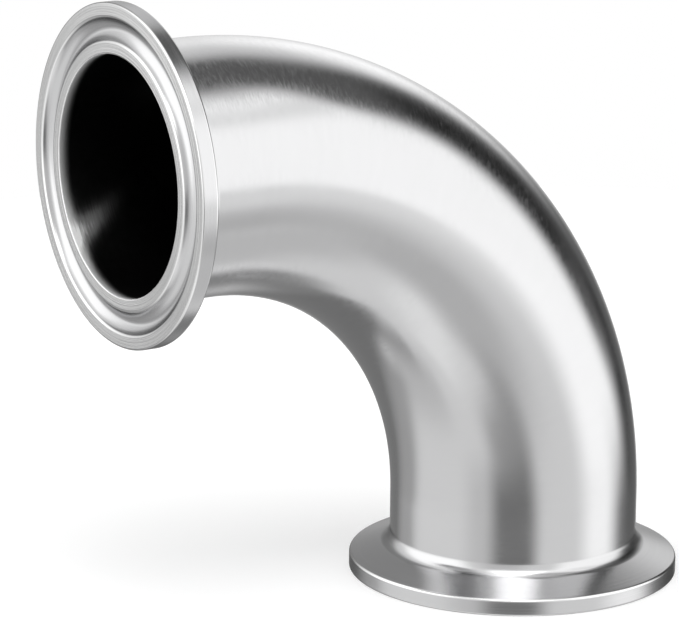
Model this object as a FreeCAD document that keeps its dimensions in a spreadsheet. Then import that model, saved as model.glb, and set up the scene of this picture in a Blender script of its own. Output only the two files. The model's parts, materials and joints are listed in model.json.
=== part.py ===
import FreeCAD, Part
import math
import os

import Sketcher

# Sanitary elbow, 90 degrees, with a clamp ferrule welded on each end.
# Millimetres. The origin is the centre of the lower ferrule's face and +Z is that port's axis.
# The elbow turns towards -X, so the upper port looks along -X.

os.makedirs("parts", exist_ok=True)
doc = FreeCAD.newDocument("sanitary_elbow")

# Driving sizes
sizes = doc.addObject("Spreadsheet::Sheet", "Sizes")
drivingSizes = [
    ("tube_outer", 38.0, "outside diameter of the tube"),
    ("tube_wall", 1.2, "wall of the tube and of the ferrules' necks"),
    ("bend_radius", 57.0, "radius of the bend at the tube's centreline"),
    ("bend_angle", 90.0, "turn of the bend in degrees"),
    ("ferrule_length", 12.5, "face of a ferrule to its weld end"),
    ("flange_outer", 50.5, "outside diameter of a ferrule's flange"),
    ("rim_thickness", 2.5, "height of the flange's rim"),
    ("back_slope", 20.0, "slope of the flange's back, which the clamp bears on, in degrees"),
    ("neck_fillet", 2.2, "radius between the flange's back and the neck"),
    ("rim_back_rounding", 0.5, "radius of the rim's corner at the back"),
    ("rim_face_rounding", 0.3, "radius of the rim's corner at the face"),
    ("mouth_rounding", 0.2, "radius of the bore's mouth"),
    ("groove_inset", 0.15, "middle of the seal groove, inwards from midway between the bore and the rim"),
    ("groove_nose", 1.8, "radius of the seal groove's round bottom"),
    ("groove_depth", 1.2, "depth of the seal groove"),
    ("groove_lip", 0.5, "radius of the seal groove's lips"),
]
for row, (alias, value, meaning) in enumerate(drivingSizes, start=1):
    sizes.set("A%d" % row, alias)
    sizes.set("B%d" % row, str(value))
    sizes.set("C%d" % row, meaning)
    sizes.setAlias("B%d" % row, alias)
doc.recompute()


def size(alias):
    # value of one driving size
    return float(sizes.get(alias))


def tubeRadius():
    return size("tube_outer") / 2


def boreRadius():
    return tubeRadius() - size("tube_wall")


def flangeRadius():
    return size("flange_outer") / 2


def backRise():
    # height that the flange's back gains from the rim in to the neck
    return (flangeRadius() - tubeRadius()) * math.tan(math.radians(size("back_slope")))


def grooveMiddle():
    # radius of the seal groove's middle
    return (flangeRadius() + boreRadius()) / 2 - size("groove_inset")


def originPlane(body, role):
    # one of the body's own origin planes
    for feature in body.Origin.OriginFeatures:
        if feature.Role == role:
            return feature
    raise ValueError("no plane " + role)


def addSketch(body, role, name):
    # empty sketch on one of the body's origin planes
    sketch = body.newObject("Sketcher::SketchObject", name)
    sketch.AttachmentSupport = [(originPlane(body, role), "")]
    sketch.MapMode = "FlatFace"
    return sketch


def bindDimension(sketch, constraint, name, expression):
    # named dimension of a sketch, driven by the sheet
    index = sketch.addConstraint(constraint)
    sketch.renameConstraint(index, name)
    sketch.setExpression("Constraints." + name, expression)


def circlesAt(body, radius, height):
    # names of the tip's circular edges about the local Z axis with this radius and height
    found = []
    for index, edge in enumerate(body.Tip.Shape.Edges, start=1):
        curve = edge.Curve
        if not isinstance(curve, Part.Circle):
            continue
        onAxis = math.hypot(curve.Center.x, curve.Center.y) < 1e-6
        if onAxis and abs(curve.Radius - radius) < 1e-4 and abs(curve.Center.z - height) < 1e-4:
            found.append("Edge%d" % index)
    if not found:
        raise ValueError("no edge at radius %.3f, height %.3f" % (radius, height))
    return found


def roundEdges(body, name, edges, expression):
    # fillet on named edges of the body's tip
    fillet = body.newObject("PartDesign::Fillet", name)
    fillet.Base = (fillet.BaseFeature, edges)
    fillet.setExpression("Radius", expression)
    doc.recompute()
    return fillet


# Ferrule: turned from bar, with its face at local z = 0 and its weld end at z = ferrule_length
def ferruleSection(body):
    # half section, drawn in the plane of the axis
    corners = [
        FreeCAD.Vector(boreRadius(), 0, 0),
        FreeCAD.Vector(flangeRadius(), 0, 0),
        FreeCAD.Vector(flangeRadius(), size("rim_thickness"), 0),
        FreeCAD.Vector(tubeRadius(), size("rim_thickness") + backRise(), 0),
        FreeCAD.Vector(tubeRadius(), size("ferrule_length"), 0),
        FreeCAD.Vector(boreRadius(), size("ferrule_length"), 0),
    ]
    face, rim, back, neck, weldEnd, bore = range(6)
    startPoint, endPoint = 1, 2
    origin, xAxis = -1, -1
    sketch = addSketch(body, "XZ_Plane", body.Name + "_section")
    for corner, following in zip(corners, corners[1:] + corners[:1]):
        sketch.addGeometry(Part.LineSegment(corner, following), False)
    for line in range(6):
        following = (line + 1) % 6
        sketch.addConstraint(Sketcher.Constraint("Coincident", line, endPoint, following, startPoint))
    for line in (face, weldEnd):
        sketch.addConstraint(Sketcher.Constraint("Horizontal", line))
    for line in (rim, neck, bore):
        sketch.addConstraint(Sketcher.Constraint("Vertical", line))
    sketch.addConstraint(Sketcher.Constraint("PointOnObject", face, startPoint, xAxis))
    bindDimension(sketch, Sketcher.Constraint("DistanceX", origin, 1, face, startPoint, boreRadius()),
                  "boreRadius", "Sizes.tube_outer / 2 - Sizes.tube_wall")
    bindDimension(sketch, Sketcher.Constraint("DistanceX", origin, 1, face, endPoint, flangeRadius()),
                  "flangeRadius", "Sizes.flange_outer / 2")
    bindDimension(sketch, Sketcher.Constraint("DistanceX", origin, 1, neck, startPoint, tubeRadius()),
                  "tubeRadius", "Sizes.tube_outer / 2")
    bindDimension(sketch, Sketcher.Constraint("DistanceY", rim, startPoint, rim, endPoint,
                                              size("rim_thickness")),
                  "rimThickness", "Sizes.rim_thickness")
    bindDimension(sketch, Sketcher.Constraint("DistanceY", origin, 1, neck, endPoint,
                                              size("ferrule_length")),
                  "ferruleLength", "Sizes.ferrule_length")
    bindDimension(sketch, Sketcher.Constraint("DistanceY", back, startPoint, back, endPoint, backRise()),
                  "backRise", "(Sizes.flange_outer - Sizes.tube_outer) / 2 * tan(Sizes.back_slope * 1 deg)")
    return sketch


def grooveSection(body):
    # circle of the cutter's nose, with its lowest point groove_depth under the face
    sketch = addSketch(body, "XZ_Plane", body.Name + "_groove_section")
    centre = FreeCAD.Vector(grooveMiddle(), size("groove_depth") - size("groove_nose"), 0)
    normal = FreeCAD.Vector(0, 0, 1)
    circle = sketch.addGeometry(Part.Circle(centre, normal, size("groove_nose")), False)
    origin, centrePoint = -1, 3
    bindDimension(sketch, Sketcher.Constraint("Radius", circle, size("groove_nose")),
                  "nose", "Sizes.groove_nose")
    bindDimension(sketch, Sketcher.Constraint("DistanceX", origin, 1, circle, centrePoint, centre.x),
                  "middle", "(Sizes.flange_outer + Sizes.tube_outer - 2 * Sizes.tube_wall) / 4"
                            " - Sizes.groove_inset")
    bindDimension(sketch, Sketcher.Constraint("DistanceY", circle, centrePoint, origin, 1, -centre.y),
                  "centreAbove", "Sizes.groove_nose - Sizes.groove_depth")
    return sketch


def makeFerrule(name):
    body = doc.addObject("PartDesign::Body", name)
    body.Label = name
    section = ferruleSection(body)
    turned = body.newObject("PartDesign::Revolution", name + "_turned")
    turned.Profile = section
    turned.ReferenceAxis = (section, ["V_Axis"])
    turned.Angle = 360.0
    section.Visibility = False
    doc.recompute()

    roundEdges(body, name + "_neck_fillet",
               circlesAt(body, tubeRadius(), size("rim_thickness") + backRise()), "Sizes.neck_fillet")
    roundEdges(body, name + "_rim_back_rounding",
               circlesAt(body, flangeRadius(), size("rim_thickness")), "Sizes.rim_back_rounding")
    roundEdges(body, name + "_rim_face_rounding",
               circlesAt(body, flangeRadius(), 0), "Sizes.rim_face_rounding")
    roundEdges(body, name + "_mouth_rounding",
               circlesAt(body, boreRadius(), 0), "Sizes.mouth_rounding")

    grooveCircle = grooveSection(body)
    groove = body.newObject("PartDesign::Groove", name + "_seal_groove")
    groove.Profile = grooveCircle
    groove.ReferenceAxis = (grooveCircle, ["V_Axis"])
    groove.Angle = 360.0
    grooveCircle.Visibility = False
    before = body.Tip.BaseFeature.Shape.Volume
    doc.recompute()
    if groove.Shape.Volume > before - 1:
        raise ValueError("the seal groove of %s cuts nothing" % name)

    halfWidth = math.sqrt(size("groove_nose") ** 2 - (size("groove_nose") - size("groove_depth")) ** 2)
    lips = []
    for side in (-1, 1):
        lips += circlesAt(body, grooveMiddle() + side * halfWidth, 0)
    roundEdges(body, name + "_groove_lips", lips, "Sizes.groove_lip")
    return body


# Bend: a tube bent round an axis parallel to Y, from the lower weld to the upper one
def makeBend(name):
    body = doc.addObject("PartDesign::Body", name)
    body.Label = name
    sketch = addSketch(body, "XY_Plane", name + "_section")
    middle = FreeCAD.Vector(0, 0, 0)
    normal = FreeCAD.Vector(0, 0, 1)
    outer = sketch.addGeometry(Part.Circle(middle, normal, tubeRadius()), False)
    inner = sketch.addGeometry(Part.Circle(middle, normal, boreRadius()), False)
    axisStart = FreeCAD.Vector(-size("bend_radius"), 0, 0)
    axisEnd = FreeCAD.Vector(-size("bend_radius"), tubeRadius(), 0)
    axis = sketch.addGeometry(Part.LineSegment(axisStart, axisEnd), True)
    origin, xAxis, centrePoint, startPoint, endPoint = -1, -1, 3, 1, 2
    for circle in (outer, inner):
        sketch.addConstraint(Sketcher.Constraint("Coincident", circle, centrePoint, origin, 1))
    sketch.addConstraint(Sketcher.Constraint("Vertical", axis))
    sketch.addConstraint(Sketcher.Constraint("PointOnObject", axis, startPoint, xAxis))
    bindDimension(sketch, Sketcher.Constraint("Radius", outer, tubeRadius()),
                  "tubeRadius", "Sizes.tube_outer / 2")
    bindDimension(sketch, Sketcher.Constraint("Radius", inner, boreRadius()),
                  "boreRadius", "Sizes.tube_outer / 2 - Sizes.tube_wall")
    bindDimension(sketch, Sketcher.Constraint("DistanceX", axis, startPoint, origin, 1, size("bend_radius")),
                  "bendRadius", "Sizes.bend_radius")
    bindDimension(sketch, Sketcher.Constraint("DistanceY", axis, startPoint, axis, endPoint, tubeRadius()),
                  "axisLength", "Sizes.tube_outer / 2")
    bend = body.newObject("PartDesign::Revolution", name + "_tube")
    bend.Profile = sketch
    bend.ReferenceAxis = (sketch, ["Axis0"])
    bend.Reversed = True
    bend.setExpression("Angle", "Sizes.bend_angle * 1 deg")
    sketch.Visibility = False
    body.setExpression("Placement.Base.z", "Sizes.ferrule_length")
    return body


lowerFerrule = makeFerrule("lower_ferrule")
elbowBend = makeBend("elbow_bend")

# The upper ferrule is the lower one's twin, turned over onto the bend's far end
upperFerrule = makeFerrule("upper_ferrule")
upperFerrule.Placement = FreeCAD.Placement(FreeCAD.Vector(), FreeCAD.Rotation(FreeCAD.Vector(0, 1, 0), 90))
upperFerrule.setExpression("Placement.Rotation.Angle", "180 deg - Sizes.bend_angle * 1 deg")
upperFerrule.setExpression(
    "Placement.Base.x",
    "-Sizes.bend_radius * (1 - cos(Sizes.bend_angle * 1 deg))"
    " - Sizes.ferrule_length * sin(Sizes.bend_angle * 1 deg)")
upperFerrule.setExpression(
    "Placement.Base.z",
    "Sizes.ferrule_length * (1 + cos(Sizes.bend_angle * 1 deg))"
    " + Sizes.bend_radius * sin(Sizes.bend_angle * 1 deg)")
doc.recompute()

# Every object sound, then one file for each piece
for item in doc.Objects:
    if "Invalid" in item.State or "Error" in item.State:
        raise ValueError("%s failed: %s" % (item.Name, item.State))
for piece in (lowerFerrule, elbowBend, upperFerrule):
    shape = piece.Shape
    if shape.isNull() or not shape.isValid() or len(shape.Solids) != 1:
        raise ValueError(piece.Label + " is not one sound solid")
    shape.exportStep("parts/%s.step" % piece.Label)
    box = shape.BoundBox
    print("%s: volume %.1f mm3, x %.2f to %.2f, y %.2f to %.2f, z %.2f to %.2f"
          % (piece.Label, shape.Volume, box.XMin, box.XMax, box.YMin, box.YMax, box.ZMin, box.ZMax))
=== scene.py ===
import json
import math

import bpy
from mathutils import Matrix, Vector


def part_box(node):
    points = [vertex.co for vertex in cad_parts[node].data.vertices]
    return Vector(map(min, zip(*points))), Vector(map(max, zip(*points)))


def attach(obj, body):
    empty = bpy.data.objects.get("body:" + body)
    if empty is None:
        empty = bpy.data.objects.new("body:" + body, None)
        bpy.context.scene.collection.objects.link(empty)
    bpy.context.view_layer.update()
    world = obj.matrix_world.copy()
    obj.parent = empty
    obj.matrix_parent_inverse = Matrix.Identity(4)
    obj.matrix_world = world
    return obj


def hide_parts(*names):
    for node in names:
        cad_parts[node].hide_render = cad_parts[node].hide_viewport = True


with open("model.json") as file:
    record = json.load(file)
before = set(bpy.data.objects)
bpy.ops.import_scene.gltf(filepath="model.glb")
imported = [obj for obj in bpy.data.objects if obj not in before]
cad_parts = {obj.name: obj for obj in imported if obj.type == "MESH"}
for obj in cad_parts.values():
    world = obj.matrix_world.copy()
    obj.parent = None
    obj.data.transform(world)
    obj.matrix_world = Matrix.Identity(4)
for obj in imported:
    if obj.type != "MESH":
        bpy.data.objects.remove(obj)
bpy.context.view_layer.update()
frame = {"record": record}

# Sanitary elbow in polished stainless steel: a bent tube with a turned clamp ferrule on each end.
# Metres. The lower port's axis is Z, and the bend turns towards -X.

mm = 0.001
weldDistance = 0.001 * mm  # points nearer than this are one point
squareOn = 0.999  # a direction whose part along an axis is above this lies along it
markedShare = 0.6  # a face takes a marked steel where its points' mean mark is above this


def mount(name):
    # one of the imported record's mounts
    return next(m for m in frame["record"]["mounts"] if m["name"] == name)


# Main sizes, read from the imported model
elbow = {
    "flangeRadius": mount("lower_rim")["dims"]["r_mm"] * mm,
    "boreRadius": mount("lower_port")["dims"]["r_mm"] * mm,
    "tubeRadius": (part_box("elbow_bend")[1].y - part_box("elbow_bend")[0].y) / 2,
    "ferruleLength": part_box("lower_ferrule")[1].z,
    "centreToFace": mount("upper_clamp_joint")["pos_m"][2],
    "around": 256,  # faces round every tube, the same in each piece so that the welds close
}
elbow["bendRadius"] = elbow["centreToFace"] - elbow["ferruleLength"]
print("sizes read:", {name: round(value, 5) for name, value in elbow.items()})


# Helpers for node trees
def feed(tree, socket, value):
    # a socket takes another node's output or a plain value
    if isinstance(value, bpy.types.NodeSocket):
        tree.links.new(value, socket)
    else:
        socket.default_value = value


def addNode(tree, kind, inputs=None, **settings):
    made = tree.nodes.new(kind)
    for name, value in settings.items():
        setattr(made, name, value)
    for name, value in (inputs or {}).items():
        feed(tree, made.inputs[name], value)
    return made


def maths(tree, operation, *values):
    made = addNode(tree, "ShaderNodeMath", operation=operation)
    for socket, value in zip(made.inputs, values):
        feed(tree, socket, value)
    return made.outputs[0]


def vectorMaths(tree, operation, *values):
    made = addNode(tree, "ShaderNodeVectorMath", operation=operation)
    for socket, value in zip(made.inputs, values):
        feed(tree, socket, value)
    return made.outputs[0]


def scaled(tree, direction, amount):
    # a vector made longer or shorter
    return addNode(tree, "ShaderNodeVectorMath", {"Vector": direction, "Scale": amount},
                   operation="SCALE").outputs[0]


def joined(tree, x, y, z):
    return addNode(tree, "ShaderNodeCombineXYZ", {"X": x, "Y": y, "Z": z}).outputs[0]


def parts(tree, value):
    return addNode(tree, "ShaderNodeSeparateXYZ", {"Vector": value}).outputs


def mixed(tree, share, first, second):
    return addNode(tree, "ShaderNodeMix", {"Factor": share, "A": first, "B": second}).outputs[0]


def ramp(tree, value, fromLow, fromHigh, toLow, toHigh, kind="SMOOTHSTEP"):
    # value carried from one range to another and held at the ends
    ends = {"Value": value, "From Min": fromLow, "From Max": fromHigh, "To Min": toLow, "To Max": toHigh}
    return addNode(tree, "ShaderNodeMapRange", ends, interpolation_type=kind).outputs[0]


# Helpers for the geometry trees of the pieces
def geometryTree(name, inputs):
    # empty geometry tree with named inputs
    tree = bpy.data.node_groups.new(name, "GeometryNodeTree")
    tree.interface.new_socket("Geometry", in_out="INPUT", socket_type="NodeSocketGeometry")
    for label, kind in inputs:
        tree.interface.new_socket(label, in_out="INPUT", socket_type="NodeSocket" + kind)
    tree.interface.new_socket("Geometry", in_out="OUTPUT", socket_type="NodeSocketGeometry")
    return tree, addNode(tree, "NodeGroupInput").outputs


def position(tree):
    return addNode(tree, "GeometryNodeInputPosition").outputs[0]


def storeVector(tree, geometry, name, value):
    return addNode(tree, "GeometryNodeStoreNamedAttribute",
                   {"Geometry": geometry, "Name": name, "Value": value},
                   data_type="FLOAT_VECTOR", domain="POINT").outputs[0]


def readVector(tree, name):
    return addNode(tree, "GeometryNodeInputNamedAttribute", {"Name": name},
                   data_type="FLOAT_VECTOR").outputs[0]


def wrappedGrid(tree, columns, rows):
    # grid whose first and last columns and rows meet once it is bent; gives each point's turn and row
    grid = addNode(tree, "GeometryNodeMeshGrid",
                   {"Size X": 1.0, "Size Y": 1.0, "Vertices X": maths(tree, "ADD", columns, 1.0),
                    "Vertices Y": maths(tree, "ADD", rows, 1.0)}).outputs[0]
    spot = parts(tree, position(tree))
    turn = maths(tree, "MULTIPLY", maths(tree, "ADD", spot["X"], 0.5), 2 * math.pi)
    row = maths(tree, "ROUND", maths(tree, "MULTIPLY", maths(tree, "ADD", spot["Y"], 0.5), rows))
    return grid, turn, row


def closeSkin(tree, given, grid, place, facing, grain, inBore, depth, finishAndSheen):
    # bends the grid to its shape and welds its seams, with exact normals and each stretch's own steel
    marked = storeVector(tree, grid, "grainPosition", grain)
    marked = storeVector(tree, marked, "skinNormal", facing)
    marked = storeVector(tree, marked, "boreSkin", joined(tree, inBore, depth, 0.0))
    marked = storeVector(tree, marked, "finishAndSheen", finishAndSheen)
    shaped = addNode(tree, "GeometryNodeSetPosition", {"Geometry": marked, "Position": place}).outputs[0]
    welded = addNode(tree, "GeometryNodeMergeByDistance",
                     {"Geometry": shaped, "Distance": weldDistance}).outputs[0]
    smooth = addNode(tree, "GeometryNodeSetShadeSmooth", {"Geometry": welded}).outputs[0]
    shaded = addNode(tree, "GeometryNodeSetMeshNormal", mode="FREE", domain="POINT")
    feed(tree, shaded.inputs["Mesh"], smooth)
    feed(tree, shaded.inputs["Custom Normal"], readVector(tree, "skinNormal"))
    real = addNode(tree, "GeometryNodeRealizeInstances", {"Geometry": shaded.outputs[0]}).outputs[0]
    covered = addNode(tree, "GeometryNodeSetMaterial",
                      {"Geometry": real, "Material": given["outsideSteel"]}).outputs[0]
    for marker, axis, material in (("finishAndSheen", "Z", "neckSteel"), ("boreSkin", "X", "boreSteel")):
        faces = addNode(tree, "FunctionNodeCompare",
                        {"A": parts(tree, readVector(tree, marker))[axis], "B": markedShare},
                        data_type="FLOAT", operation="GREATER_THAN").outputs[0]
        covered = addNode(tree, "GeometryNodeSetMaterial",
                          {"Geometry": covered, "Selection": faces,
                           "Material": given[material]}).outputs[0]
    addNode(tree, "NodeGroupOutput", {"Geometry": covered})


def makePiece(name, mesh, tree, values, node):
    # runs a geometry tree on a mesh, keeps the result as a plain mesh and puts it in place of its CAD node
    piece = bpy.data.objects.new(name, mesh)
    bpy.context.scene.collection.objects.link(piece)
    modifier = piece.modifiers.new(name, "NODES")
    modifier.node_group = tree
    for item in tree.interface.items_tree:
        if item.in_out == "INPUT" and item.name in values:
            modifier[item.identifier] = values[item.name]
    graph = bpy.context.evaluated_depsgraph_get()
    made = bpy.data.meshes.new_from_object(piece.evaluated_get(graph), preserve_all_data_layers=True,
                                           depsgraph=graph)
    piece.modifiers.clear()
    piece.data = made
    made.name = name
    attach(piece, "root")
    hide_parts(node)
    print("made", name, len(made.polygons), "faces")
    return piece


# Steel. Every piece stores grainPosition: the direction round the tube, and millimetres along its skin.
# Brush streaks run round the tube. Each kind has streaks per radius round it and per millimetre along it.
noiseRange = (0.3, 0.7)  # most of a noise lies in this range
noisePairRange = (0.7, 1.3)  # and most of the sum of two in this one
tubeLooks = {
    "colour": (0.58, 0.58, 0.585),
    "edgeOn": 1.0,  # share of the light kept where the skin is seen edge-on
    "colourSpread": 0.006,
    "roughness": 0.165,
    "roughnessSpread": 0.14,
    "fineStreaks": (14.0, 5.0),
    "fineDepth": 0.0007 * mm,
    "brushedFrom": (20, 65),  # millimetres along the tube between which the brushing grows
    "leastBrushed": 0.25,  # share of the brushing before that
    "coarseStreaks": (2.5, 1.0),
    "coarseDepth": 0.001 * mm,
    "wipes": 90.0,  # soft changes of polish in a metre, from wiping
}
turnedLooks = {
    **tubeLooks,
    "edgeOn": 0.55,
    "leastBrushed": 1.0,
    "roughness": 0.2,
    "roughnessSpread": 0.08,
    "fineStreaks": (0.6, 9.0),
    "fineDepth": 0.007 * mm,
    "coarseStreaks": (0.3, 2.5),
    "coarseDepth": 0.003 * mm,
    "facedDepth": 0.04 * mm,  # the flats of the face keep the deeper rings of the facing cut
    # painted sheen: the face's flats are coloured lighter than the rest of the steel
    "facedSheenColour": (0.7, 0.7, 0.7),
    "edgeHighlightColour": (0.8, 0.8, 0.8),  # painted highlight: rounded corners coloured brighter, standing in for the light they catch
}
boreLooks = {
    **tubeLooks,
    # painted shade: the bore is coloured nearly black, standing in for the dark inside the tube
    "colour": (0.03, 0.03, 0.03),
    "leastBrushed": 1.0,
    "roughness": 0.36,
    "mouthPaintedLight": (0.8, 0.8, 0.8),
    "mouthRoughness": 0.75,
    "mouthFade": (0.0, 2.0),  # millimetres in from the face over which the mouth's painted light fades into the bore's painted shade, and its roughness into the bore's
    # painted highlight: a white streak of reflected light running into the bore
    "streakHighlightColour": (1.0, 1.0, 1.0),
    "streakRoughness": 1.0,
    "streakClock": math.radians(132.5),  # where it starts, as a turn about the port's axis
    "streakTwist": math.radians(1.9),  # turned back with each millimetre of depth
    # a broad start and a narrow tail: width, millimetres in which it fades, and strength
    "streakParts": ((math.radians(12), 1.4, 1.0), (math.radians(6), 5.5, 0.6)),
    "streakGrain": (6.0, 4.0),
    "streakSpread": 0.35,
    "streakDullness": 2.5,  # how much further its roughness reaches than its painted highlight
}


def streaks(tree, place, size, detail):
    # noise drawn out round the tube
    roundTube, alongTube = size
    stretched = vectorMaths(tree, "MULTIPLY", place, (roundTube, roundTube, alongTube))
    return addNode(tree, "ShaderNodeTexNoise",
                   {"Vector": stretched, "Scale": 1.0, "Detail": detail}).outputs[0]


def shade(colour, change=1.0):
    return (colour[0] * change, colour[1] * change, colour[2] * change, 1)


def blended(tree, share, first, second):
    # mix of two colours; the node keeps its colour sockets after those for numbers and vectors
    blend = addNode(tree, "ShaderNodeMix", data_type="RGBA")
    for number, value in ((0, share), (6, first), (7, second)):
        feed(tree, blend.inputs[number], value)
    return blend.outputs[2]


def mouthSkin(tree, looks, place, colour, roughness):
    # painted light at the mouth fades a little way in from the face into the bore's painted shade, as its
    # skin turns less rough, and one painted highlight streak runs on from it
    skin = addNode(tree, "ShaderNodeAttribute", attribute_name="boreSkin").outputs["Vector"]
    depth = parts(tree, skin)["Y"]
    inwards = ramp(tree, depth, *looks["mouthFade"], 0.0, 1.0)
    # painted light near the mouth, fading into the painted shade of the bore
    colour = blended(tree, inwards, shade(looks["mouthPaintedLight"]), colour)
    roughness = mixed(tree, inwards, looks["mouthRoughness"], roughness)

    spot = parts(tree, place)
    clock = maths(tree, "ARCTAN2", spot["Y"], spot["X"])
    turned = maths(tree, "MULTIPLY", depth, looks["streakTwist"])
    away = maths(tree, "SUBTRACT", clock, maths(tree, "SUBTRACT", looks["streakClock"], turned))
    streak = 0.0
    for width, fade, strength in looks["streakParts"]:
        past = 0.0
        for distance, reach in ((away, width), (depth, fade)):
            offset = maths(tree, "DIVIDE", distance, reach)
            past = maths(tree, "ADD", past, maths(tree, "MULTIPLY", offset, offset))
        patch = maths(tree, "EXPONENT", maths(tree, "MULTIPLY", past, -1.0))
        streak = maths(tree, "ADD", streak, maths(tree, "MULTIPLY", patch, strength))
    spread = looks["streakSpread"]
    grain = streaks(tree, place, looks["streakGrain"], 2.0)
    broken = ramp(tree, grain, *noiseRange, 1 - spread, 1 + spread, "LINEAR")
    streak = maths(tree, "MULTIPLY", streak, broken)

    # the streak painted white: a painted highlight
    colour = blended(tree, streak, colour, shade(looks["streakHighlightColour"]))
    dulled = maths(tree, "MULTIPLY", streak, looks["streakDullness"])
    roughness = mixed(tree, dulled, roughness, looks["streakRoughness"])
    return colour, roughness


def steel(name, looks):
    material = bpy.data.materials.new(name)
    material.use_nodes = True
    tree = material.node_tree
    shader = tree.nodes["Principled BSDF"]
    place = addNode(tree, "ShaderNodeAttribute", attribute_name="grainPosition").outputs["Vector"]
    fine = streaks(tree, place, looks["fineStreaks"], 2.0)
    brushed = ramp(tree, parts(tree, place)["Z"], *looks["brushedFrom"], looks["leastBrushed"], 1.0)
    fine = maths(tree, "MULTIPLY_ADD", maths(tree, "SUBTRACT", fine, 0.5), brushed, 0.5)
    coarse = streaks(tree, place, looks["coarseStreaks"], 1.0)
    wiped = addNode(tree, "ShaderNodeTexNoise",
                    {"Vector": addNode(tree, "ShaderNodeTexCoord").outputs["Object"],
                     "Scale": looks["wipes"], "Detail": 1.0}).outputs[0]

    half = looks["roughnessSpread"] / 2
    least = looks["roughness"] - half
    most = looks["roughness"] + half
    roughness = ramp(tree, fine, *noiseRange, least, most, "LINEAR")
    softer = ramp(tree, wiped, *noiseRange, -half / 2, half / 2, "LINEAR")
    roughness = maths(tree, "ADD", roughness, softer)
    darker = shade(looks["colour"], 1 - looks["colourSpread"])
    lighter = shade(looks["colour"], 1 + looks["colourSpread"])
    tint = ramp(tree, maths(tree, "ADD", fine, coarse), *noisePairRange, 0.0, 1.0, "LINEAR")
    colour = blended(tree, tint, darker, lighter)
    fineDepth = looks["fineDepth"]
    if "facedDepth" in looks:
        finishAndSheen = parts(tree, addNode(tree, "ShaderNodeAttribute", attribute_name="finishAndSheen").outputs["Vector"])
        fineDepth = mixed(tree, finishAndSheen["X"], fineDepth, looks["facedDepth"])
        # the face's flats painted lighter: a painted sheen
        colour = blended(tree, finishAndSheen["X"], colour, shade(looks["facedSheenColour"]))
        # rounded corners and the mouth's edge painted brighter: a painted highlight
        colour = blended(tree, finishAndSheen["Y"], colour, shade(looks["edgeHighlightColour"]))
    if "mouthFade" in looks:
        colour, roughness = mouthSkin(tree, looks, place, colour, roughness)
    feed(tree, shader.inputs["Base Color"], colour)
    feed(tree, shader.inputs["Roughness"], roughness)

    height = maths(tree, "ADD", maths(tree, "MULTIPLY", fine, fineDepth),
                   maths(tree, "MULTIPLY", coarse, looks["coarseDepth"]))
    bump = addNode(tree, "ShaderNodeBump", {"Height": height, "Distance": 1.0})
    feed(tree, shader.inputs["Normal"], bump.outputs[0])
    shader.inputs["Metallic"].default_value = 1.0
    edgeOn = looks["edgeOn"]
    shader.inputs["Specular Tint"].default_value = (edgeOn, edgeOn, edgeOn, 1)
    return material


polishedSteel = steel("polishedSteel", tubeLooks)
turnedSteel = steel("turnedSteel", turnedLooks)
boreSteel = steel("boreSteel", boreLooks)
print("materials made")


# Bent tube: one closed skin, up the outside of the bend and back down its bore
bend = {
    "along": 140,  # faces from one weld to the other
    "angle": math.radians(90),
}


def bentTubeTree():
    tree, given = geometryTree("bentTube", [
        ("bendRadius", "Float"), ("bendAngle", "Float"), ("tubeRadius", "Float"), ("boreRadius", "Float"),
        ("startHeight", "Float"), ("around", "Int"), ("along", "Int"),
        ("outsideSteel", "Material"), ("neckSteel", "Material"), ("boreSteel", "Material")])
    # rows 0 to along lie on the outside and as many in the bore; the last row meets the first
    rows = maths(tree, "ADD", maths(tree, "MULTIPLY", given["along"], 2.0), 2.0)
    grid, turn, row = wrappedGrid(tree, given["around"], rows)
    past = maths(tree, "GREATER_THAN", row, maths(tree, "ADD", given["along"], 0.5))
    ended = maths(tree, "GREATER_THAN", row, maths(tree, "SUBTRACT", rows, 0.5))
    inBore = maths(tree, "SUBTRACT", past, ended)
    backRow = maths(tree, "MAXIMUM", maths(tree, "SUBTRACT", maths(tree, "SUBTRACT", rows, 1.0), row), 0.0)
    step = mixed(tree, past, row, backRow)
    bent = maths(tree, "MULTIPLY", maths(tree, "DIVIDE", step, given["along"]), given["bendAngle"])
    # outward is the direction away from the bend's own axis
    outward = joined(tree, maths(tree, "COSINE", bent), 0.0, maths(tree, "SINE", bent))
    cosine = maths(tree, "COSINE", turn)
    sine = maths(tree, "SINE", turn)
    radial = vectorMaths(tree, "ADD", scaled(tree, outward, cosine), joined(tree, 0.0, sine, 0.0))
    middle = vectorMaths(
        tree, "ADD", scaled(tree, outward, given["bendRadius"]),
        joined(tree, maths(tree, "MULTIPLY", given["bendRadius"], -1.0), 0.0, given["startHeight"]))
    radius = mixed(tree, inBore, given["tubeRadius"], given["boreRadius"])
    place = vectorMaths(tree, "ADD", middle, scaled(tree, radial, radius))
    facing = scaled(tree, radial, maths(tree, "SUBTRACT", 1.0, maths(tree, "MULTIPLY", inBore, 2.0)))
    distance = maths(tree, "ADD", given["startHeight"], maths(tree, "MULTIPLY", bent, given["bendRadius"]))
    grain = joined(tree, cosine, sine, maths(tree, "DIVIDE", distance, mm))
    closeSkin(tree, given, grid, place, facing, grain, inBore,
              maths(tree, "DIVIDE", given["startHeight"], mm), (0.0, 0.0, 0.0))
    return tree


makePiece("bentTube", bpy.data.meshes.new("bentTube"), bentTubeTree(), {
    "bendRadius": elbow["bendRadius"], "bendAngle": bend["angle"], "tubeRadius": elbow["tubeRadius"],
    "boreRadius": elbow["boreRadius"], "startHeight": elbow["ferruleLength"],
    "around": elbow["around"], "along": bend["along"],
    "outsideSteel": polishedSteel, "neckSteel": polishedSteel, "boreSteel": boreSteel},
    "elbow_bend")


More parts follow.
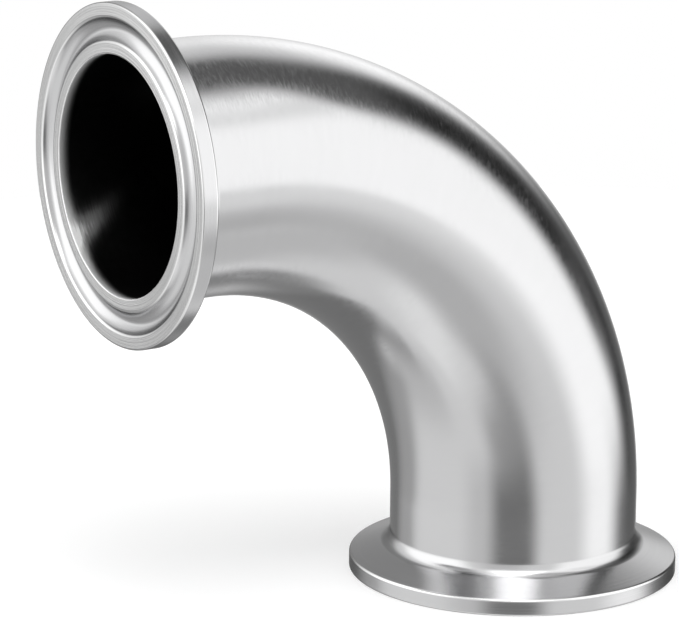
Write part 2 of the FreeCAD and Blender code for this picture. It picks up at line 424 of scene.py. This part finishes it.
# Ferrules: turned from bar. The outline is one half section, drawn as (radius, height over the face).
ferrule = {
    "rimThickness": 2.5 * mm,
    "backSlope": math.radians(20),
    "neckFillet": 2.2 * mm,
    "rimBackRounding": 0.5 * mm,
    "rimFaceRounding": 0.3 * mm,
    "mouthRounding": 0.2 * mm,
    "grooveInset": 0.15 * mm,  # middle of the groove, inwards from midway between the bore and the rim
    "grooveNose": 1.8 * mm,
    "grooveDepth": 1.2 * mm,
    "grooveLip": 0.5 * mm,
    "arcStep": math.radians(6),  # turn of one face in a rounding
    "cornerShine": 1.0,  # how bright the painted highlight on its rounded corners is, at their middles
    # and on the mouth's rounding, a brighter painted highlight
    "mouthShine": 1.4,
}


def arcPoints(centre, radius, start, end, side, paintedShine=0.0):
    # points of an arc with their outward normals, and how bright a painted highlight makes each; side is 1
    # where the metal fills the arc and -1 where it lies outside
    steps = max(3, math.ceil(abs(end - start) / ferrule["arcStep"]))
    points = []
    for step in range(steps + 1):
        angle = start + (end - start) * step / steps
        ray = (math.cos(angle), math.sin(angle))
        shine = paintedShine * math.sin(math.pi * step / steps)
        points.append((centre[0] + radius * ray[0], centre[1] + radius * ray[1],
                       side * ray[0], side * ray[1], shine))
    return points


def ferruleOutline():
    # goes down the bore, out along the face, up the rim and in over the back to the weld
    bore, tube, flange = elbow["boreRadius"], elbow["tubeRadius"], elbow["flangeRadius"]
    down, right, up, left = -math.pi / 2, 0.0, math.pi / 2, math.pi
    mouth, front, back = (ferrule[name] for name in ("mouthRounding", "rimFaceRounding", "rimBackRounding"))
    shine = ferrule["cornerShine"]
    points = [(bore, elbow["ferruleLength"], -1.0, 0.0, 0.0)]
    points += arcPoints((bore + mouth, mouth), mouth, -left, down, 1, ferrule["mouthShine"])

    # the groove's round bottom has its centre in front of the face, and its lips are rounded off
    middle = (bore + flange) / 2 - ferrule["grooveInset"]
    nose, lip = ferrule["grooveNose"], ferrule["grooveLip"]
    above = nose - ferrule["grooveDepth"]
    reach = math.sqrt((nose + lip) ** 2 - (above + lip) ** 2)
    lean = math.atan2(above + lip, reach)
    points += arcPoints((middle - reach, lip), lip, down, -lean, 1, shine)
    points += arcPoints((middle, -above), nose, left - lean, lean, -1)[1:-1]
    points += arcPoints((middle + reach, lip), lip, left + lean, left - down, 1, shine)

    # the back is a cone that falls from the neck to the rim
    slope, thickness = ferrule["backSlope"], ferrule["rimThickness"]
    points += arcPoints((flange - front, front), front, down, right, 1, shine)
    halfTurn = math.tan((up - slope) / 2)
    points += arcPoints((flange - back, thickness - back * halfTurn), back, right, up - slope, 1, shine)
    neck = ferrule["neckFillet"]
    neckHeight = thickness + (flange - tube) * math.tan(slope)
    points += arcPoints((tube + neck, neckHeight + neck * halfTurn), neck, down - slope, -left, -1)
    points.append((tube, elbow["ferruleLength"], 1.0, 0.0, 0.0))
    return points


def outlineMesh(name):
    # the outline as a mesh that carries its normals, its length from the weld, and what is bore, faced,
    # painted with a highlight or neck
    points = ferruleOutline()
    mesh = bpy.data.meshes.new(name)
    mesh.from_pydata([(point[0], 0, point[1]) for point in points], [], [])
    normals = mesh.attributes.new("outlineNormal", "FLOAT_VECTOR", "POINT")
    grain = mesh.attributes.new("outlineGrain", "FLOAT_VECTOR", "POINT")
    finishAndSheen = mesh.attributes.new("outlineFinishAndSheen", "FLOAT_VECTOR", "POINT")
    boreEnd = elbow["boreRadius"] + ferrule["mouthRounding"] / 2
    neckEnd = elbow["tubeRadius"] + weldDistance
    length = 0.0
    following = points[-1]
    for index in reversed(range(len(points))):
        radius, height, outX, outZ, paintedShine = points[index]
        length += math.hypot(following[0] - radius, following[1] - height) / mm
        following = points[index]
        normals.data[index].vector = (outX, 0, outZ)
        grain.data[index].vector = (length, 1.0 if radius < boreEnd else 0.0, 0)
        faced = outZ < -squareOn
        neck = outX > squareOn and radius < neckEnd
        finishAndSheen.data[index].vector = (1.0 if faced else 0.0, paintedShine, 1.0 if neck else 0.0)
    return mesh


def turnedFerruleTree():
    tree, given = geometryTree("turnedFerrule", [
        ("base", "Vector"), ("axis", "Vector"), ("outward", "Vector"), ("sideways", "Vector"),
        ("grainStart", "Float"), ("grainStep", "Float"), ("around", "Int"),
        ("outsideSteel", "Material"), ("neckSteel", "Material"), ("boreSteel", "Material")])
    outline = given["Geometry"]
    rows = addNode(tree, "GeometryNodeAttributeDomainSize", {"Geometry": outline}).outputs["Point Count"]
    grid, turn, row = wrappedGrid(tree, given["around"], rows)
    outlineIndex = maths(tree, "MODULO", row, rows)

    def sampled(value):
        # the outline's own value at this row
        return addNode(tree, "GeometryNodeSampleIndex",
                       {"Geometry": outline, "Value": value, "Index": outlineIndex},
                       data_type="FLOAT_VECTOR", domain="POINT").outputs[0]

    section = parts(tree, sampled(position(tree)))
    normal = parts(tree, sampled(readVector(tree, "outlineNormal")))
    outlineGrain = parts(tree, sampled(readVector(tree, "outlineGrain")))
    finishAndSheen = sampled(readVector(tree, "outlineFinishAndSheen"))
    cosine = maths(tree, "COSINE", turn)
    sine = maths(tree, "SINE", turn)
    radial = vectorMaths(tree, "ADD", scaled(tree, given["outward"], cosine),
                         scaled(tree, given["sideways"], sine))
    place = vectorMaths(tree, "ADD", given["base"], scaled(tree, radial, section["X"]))
    place = vectorMaths(tree, "ADD", place, scaled(tree, given["axis"], section["Z"]))
    facing = vectorMaths(tree, "ADD", scaled(tree, radial, normal["X"]),
                         scaled(tree, given["axis"], normal["Z"]))
    along = maths(tree, "ADD", given["grainStart"],
                  maths(tree, "MULTIPLY", outlineGrain["X"], given["grainStep"]))
    side = maths(tree, "MULTIPLY", sine, parts(tree, given["sideways"])["Y"])
    grain = joined(tree, cosine, side, along)
    closeSkin(tree, given, grid, place, facing, grain, outlineGrain["Y"],
              maths(tree, "DIVIDE", section["Z"], mm), finishAndSheen)
    return tree


upperWeld = elbow["ferruleLength"] + elbow["bendRadius"] * bend["angle"]
ferruleEnds = {
    "lowerFerrule": {
        "node": "lower_ferrule", "base": (0, 0, 0), "axis": (0, 0, 1), "outward": (1, 0, 0),
        "sideways": (0, 1, 0), "grainStart": elbow["ferruleLength"] / mm, "grainStep": -1.0,
    },
    "upperFerrule": {
        "node": "upper_ferrule", "base": (-elbow["centreToFace"], 0, elbow["centreToFace"]),
        "axis": (1, 0, 0), "outward": (0, 0, 1), "sideways": (0, -1, 0),
        "grainStart": upperWeld / mm, "grainStep": 1.0,
    },
}
for endName, end in ferruleEnds.items():
    makePiece(endName, outlineMesh(endName), turnedFerruleTree(), {
        **end, "around": elbow["around"], "outsideSteel": turnedSteel, "neckSteel": polishedSteel,
        "boreSteel": boreSteel}, end["node"])


# Camera, at the photograph's viewing angle
view = {
    "azimuth": -31.38,
    "elevation": 14.59,
    "roll": 0.59,
    "distance": 0.71324,
    "target": (-0.03131, 0, 0.04522),
    "focalPixels": 4778.1,
    "middlePixel": (341.94, 307.68),
    "frame": (679, 620),
}


def makeCamera():
    data = bpy.data.cameras.new("photoCamera")
    camera = bpy.data.objects.new("photoCamera", data)
    bpy.context.scene.collection.objects.link(camera)
    width, height = view["frame"]
    data.sensor_fit = "HORIZONTAL"
    data.lens = view["focalPixels"] * data.sensor_width / width
    data.shift_x = (width / 2 - view["middlePixel"][0]) / width
    data.shift_y = (view["middlePixel"][1] - height / 2) / width
    turn, rise, roll = (math.radians(view[name]) for name in ("azimuth", "elevation", "roll"))
    camera.rotation_euler = (math.pi / 2 - rise, 0, turn)
    bpy.context.view_layer.update()
    level = camera.matrix_world.to_3x3()
    right, above, behind = (level.col[axis].copy() for axis in range(3))
    level.col[0] = right * math.cos(roll) + above * math.sin(roll)
    level.col[1] = above * math.cos(roll) - right * math.sin(roll)
    camera.rotation_euler = level.to_euler()
    camera.location = [at + away * view["distance"] for at, away in zip(view["target"], behind)]
    bpy.context.scene.camera = camera


# Studio. The camera sees plain white. Metal sees a white room with soft boxes, dark gaps and a shaded floor.
studio = {
    "plain": 1.0,
    "tableRadius": 0.26,
    "tableHeight": -0.02 * mm,  # just clear of the lower face, so that no two faces lie in one plane
    "tableColour": (0.9, 0.9, 0.9, 1),
    "tableGlow": 0.15,
}
# middle azimuth and elevation, half width and half height, soft sides, soft top and bottom, in degrees,
# then the level
panels = {
    "leftSill": (-147, -9, 11, 7, 5, 4, 1.4),
    "leftWindow": (-112, 22, 34, 30, 8, 8, 1.75),
    "leftDusk": (-42, 12, 18, 24, 10, 10, 0.78),
    "frontTop": (-25, 62, 29, 17, 11, 9, 3.5),
    "backLeft": (172, 22, 20, 36, 8, 8, 0.33),
    "deepLeft": (-115, -62, 35, 12, 10, 10, 0.78),
    "deepBehind": (-160, -76, 60, 8, 8, 8, 0.5),
    "underFront": (-22, -68, 36, 10, 8, 8, 1.2),
    "underRight": (56, -52, 24, 12, 8, 8, 0.78),
    "underBack": (124, -60, 24, 14, 10, 10, 0.33),
    "frontLow": (8, -42, 24, 14, 9, 9, 0.7),
    "frontShadeTail": (-27, -36, 20, 8, 9, 7, 0.48),
    "frontShadeSide": (-58, -22, 18, 12, 12, 10, 0.8),
    "frontShade": (-32, -18, 20, 12, 9, 8, 0.24),
    "leftLow": (-154, -36, 16, 26, 9, 9, 0.5),
    "behindLow": (168, -45, 27, 38, 9, 10, 0.24),
    "frontRight": (46, 26, 36, 34, 9, 3, 1.55),
    "frontRightDim": (50, 44, 18, 5, 7, 5, 1.15),
    "topDim": (40, 67, 44, 10, 10, 6, 0.65),
    "rightEdgeLow": (64, -12, 27, 11, 12, 5, 1.6),
    "rightFloor": (56, -31, 22, 8, 10, 6, 0.55),
    "rightUnder": (93, -24, 18, 11, 14, 6, 0.2),
    "darkShoulder": (86, 43, 14, 7, 9, 6, 0.5),
    "darkSide": (104, 23, 21, 27, 10, 6, 0.1),
    "darkTop": (108, 50, 31, 20, 13, 8, 0.13),
    "darkCore": (99, 16, 9, 18, 6, 7, 0.03),
    "backHalo": (140, 17, 18, 27, 12, 11, 0.9),
    "backLight": (138, 17, 11, 11, 9, 9, 1.45),
    "darkLow": (114, -10, 22, 14, 12, 6, 0.15),
    "darkLowCore": (107, -5, 6, 8, 6, 5, 0.06),
    "backEdge": (149, -16, 7, 9, 4, 4, 0.45),
}


def makeWorld():
    world = bpy.data.worlds.new("studio")
    world.use_nodes = True
    tree = world.node_tree
    tree.nodes.clear()
    ray = parts(tree, addNode(tree, "ShaderNodeTexCoord").outputs["Generated"])
    azimuth = maths(tree, "ARCTAN2", ray["X"], maths(tree, "MULTIPLY", ray["Y"], -1.0))
    elevation = maths(tree, "ARCSINE", ray["Z"])
    level = studio["plain"]
    for middle, height, halfWidth, halfHeight, softSides, softTop, brightness in panels.values():
        aside = maths(tree, "WRAP", maths(tree, "SUBTRACT", azimuth, math.radians(middle)), math.pi, -math.pi)
        above = maths(tree, "SUBTRACT", elevation, math.radians(height))
        cover = 1.0
        for offset, half, soft in ((aside, halfWidth, softSides), (above, halfHeight, softTop)):
            inside = ramp(tree, maths(tree, "ABSOLUTE", offset), math.radians(half - soft),
                          math.radians(half + soft), 1.0, 0.0)
            cover = maths(tree, "MULTIPLY", cover, inside)
        level = mixed(tree, cover, level, brightness)
    forCamera = addNode(tree, "ShaderNodeLightPath").outputs["Is Camera Ray"]
    background = addNode(tree, "ShaderNodeBackground",
                         {"Color": (1, 1, 1, 1), "Strength": mixed(tree, forCamera, level, 1.0)})
    addNode(tree, "ShaderNodeOutputWorld", {"Surface": background.outputs[0]})
    bpy.context.scene.world = world


def makeTable():
    mesh = bpy.data.meshes.new("table")
    corners = 128
    ring = [2 * math.pi * corner / corners for corner in range(corners)]
    radius, height = studio["tableRadius"], studio["tableHeight"]
    mesh.from_pydata([(radius * math.cos(at), radius * math.sin(at), height) for at in ring], [],
                     [list(range(corners))])
    table = bpy.data.objects.new("table", mesh)
    bpy.context.scene.collection.objects.link(table)
    material = bpy.data.materials.new("table")
    material.use_nodes = True
    tree = material.node_tree
    tree.nodes.clear()
    matte = addNode(tree, "ShaderNodeBsdfDiffuse", {"Color": studio["tableColour"]}).outputs[0]
    seen = addNode(tree, "ShaderNodeLightPath").outputs["Is Camera Ray"]
    glow = addNode(tree, "ShaderNodeEmission",
                   {"Strength": maths(tree, "MULTIPLY", seen, studio["tableGlow"])}).outputs[0]
    both = addNode(tree, "ShaderNodeAddShader")
    tree.links.new(matte, both.inputs[0])
    tree.links.new(glow, both.inputs[1])
    addNode(tree, "ShaderNodeOutputMaterial", {"Surface": both.outputs[0]})
    mesh.materials.append(material)
    table.visible_glossy = False  # the room below the horizon stands for the floor in the metal


makeCamera()
makeWorld()
makeTable()
bpy.context.scene.view_settings.view_transform = "Standard"
print("camera and studio made")
